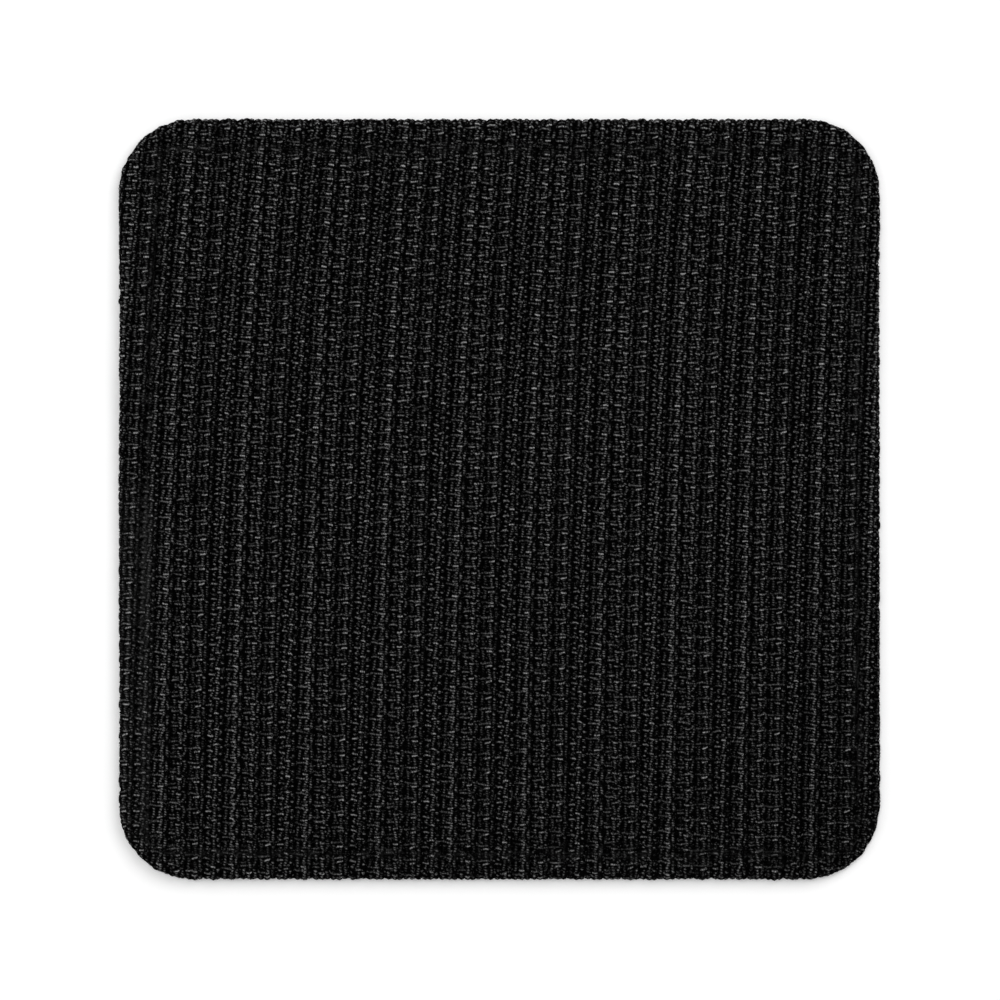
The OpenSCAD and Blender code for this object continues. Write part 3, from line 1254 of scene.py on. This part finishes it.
# Sewing thread: polyester with two smooth plies. It is darker than the cotton and very slightly glossy,
# and its crown gets a faint painted highlight
thread = yarn_material(
    "black_polyester_thread", dark="#030303", light="#101010", narrow=1.5, visible=(0.0, 0.5),
    flecks=(0.43, 0.6), beads=(0.5, 0.5), roughness=0.4, gloss=0.02,
)
for pieces, material in ((warp, warp_yarn), (weft, weft_yarn), ((face_stitches, back_stitches), thread)):
    for piece in pieces:
        piece.data.materials.append(material)
    print(len(pieces), "pieces of", material.name)

# %% [markdown]
# ## The back and the inside
#
# The back is lined with plain black cotton, woven one over one under. Nothing catches on it, and it is seen
# from close by only when the patch is turned over, so its yarns needn't be tubes. Two crossed waves on the
# flat underside do it: where both are high, a yarn crosses on top. Above the back the same body is painted
# nearly black: painted shade that stands for the dark between the yarns.

# %% Black lining cloth
# Cotton woven flat and pressed: matt, with fine grey crossings, a painted highlight where a yarn crosses on
# top. A wave texture turns by 20 radians for each unit, and its scale makes one wave of each yarn
LINING_YARN_MM = 0.748
LINING_BUMP_MM = 0.1
WAVE_RADIANS = 20.0
lining_scale = FULL_TURN / WAVE_RADIANS / (LINING_YARN_MM * MM)
lining = blank("black_cotton_lining")
where = add(lining, "ShaderNodeTexCoord").outputs["Object"]
waves = []
for direction in ("X", "Y"):
    waves.append(add(
        lining, "ShaderNodeTexWave",
        {"Vector": where, "Scale": lining_scale, "Distortion": 0.6, "Detail": 1.0},
        bands_direction=direction,
    ).outputs["Fac"])
crossed = add(lining, "ShaderNodeMath", {0: waves[0], 1: waves[1]}, operation="MULTIPLY")
# Painted highlight: lighter where a yarn crosses on top
lining_colour = add(
    lining, "ShaderNodeMix", {0: crossed, 6: linear("#0c0c0c"), 7: linear("#222222")}, data_type="RGBA"
).outputs[2]
lining_bump = add(
    lining, "ShaderNodeBump", {"Strength": 0.7, "Distance": LINING_BUMP_MM * MM, "Height": crossed}
)
lining_shader = add(
    lining, "ShaderNodeBsdfPrincipled",
    {"Base Color": lining_colour, "Roughness": 0.8, "Normal": lining_bump},
)
add(lining, "ShaderNodeOutputMaterial", {"Surface": lining_shader})
print("lining with a yarn every", LINING_YARN_MM, "mm, at a scale of", round(lining_scale))

# %% The dark between the yarns
# Painted shade: the body above the back is nearly black and has no gloss, for the shade deep between the
# yarns
BACK_UP_TO = 0.2
inside = blank("painted_shade_between_yarns")
inside_shader = add(
    inside, "ShaderNodeBsdfPrincipled",
    {"Base Color": linear("#020202"), "Roughness": 0.9, "Specular IOR Level": 0.0},
)
add(inside, "ShaderNodeOutputMaterial", {"Surface": inside_shader})
ground.data.materials.append(lining)
ground.data.materials.append(inside)
for face in ground.data.polygons:
    face.material_index = int(face.center.z > BACK_UP_TO * MM)
print("faces of the inside", sum(face.material_index for face in ground.data.polygons))

# %% [markdown]
# ## Floor and light
#
# The patch lies on white paper. Its shadow is soft and falls mostly down and left. A sun would draw it
# sharp, so wide lamps light the patch: the widest at the upper right, one nearly overhead, and a weak one
# at the left. White surroundings give the rest, as in a light tent.

# %% Floor
# Drawing paper, pressed but not coated: matt, and a shade under pure white
FLOOR_HALF_W = 1.5
bm = bmesh.new()
bmesh.ops.create_grid(bm, x_segments=1, y_segments=1, size=FLOOR_HALF_W)
floor_mesh = bpy.data.meshes.new("floor")
bm.to_mesh(floor_mesh)
bm.free()
floor = link("floor", floor_mesh)
paper = blank("white_paper")
paper_shader = add(paper, "ShaderNodeBsdfPrincipled", {"Base Color": linear("#f4f4f4"), "Roughness": 0.9})
add(paper, "ShaderNodeOutputMaterial", {"Surface": paper_shader})
floor.data.materials.append(paper)
print("floor", 2 * FLOOR_HALF_W, "m each way")

# %% Lamps
# Name, place in metres, width in metres and power in watts. Each looks at the middle of the patch
LAMPS = (
    ("overhead", (-0.08, 0.1, 1.1), 0.5, 4.5),
    ("key", (0.52, 0.56, 0.76), 0.7, 5.0),
    ("fill", (-0.6, 0.1, 0.9), 0.6, 0.9),
)
for name, place, width, power in LAMPS:
    light = bpy.data.lights.new(name, "AREA")
    light.energy = power
    light.size = width
    lamp = bpy.data.objects.new(name, light)
    bpy.context.scene.collection.objects.link(lamp)
    lamp.location = place
    lamp.rotation_mode = "QUATERNION"
    lamp.rotation_quaternion = (-Vector(place)).to_track_quat("-Z", "Y")
    print("lamp", name, power, "W")

# %% White surroundings
SURROUNDINGS = 0.53
world = bpy.data.worlds.new("studio")
bpy.context.scene.world = world
world.use_nodes = True
background = world.node_tree.nodes["Background"]
background.inputs["Color"].default_value = (1, 1, 1, 1)
background.inputs["Strength"].default_value = SURROUNDINGS
bpy.context.scene.view_settings.view_transform = "Standard"
print("surroundings at", SURROUNDINGS, "of full white")

# %% [markdown]
# ## Fit everything to the frame
#
# All pieces ride on the one body, because cloth has no joint. The pad's own skin replaces the solid of the
# construction. Laid flat, the cloth is 79 mm each way before its edge is turned down.

# %% Bodies
yarns = (*warp, *weft)
stitches = (face_stitches, back_stitches)
for piece in (ground, *yarns, *stitches):
    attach(piece, "root")
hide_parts("patch_cloth")
print("pieces", len(yarns) + len(stitches) + 1)
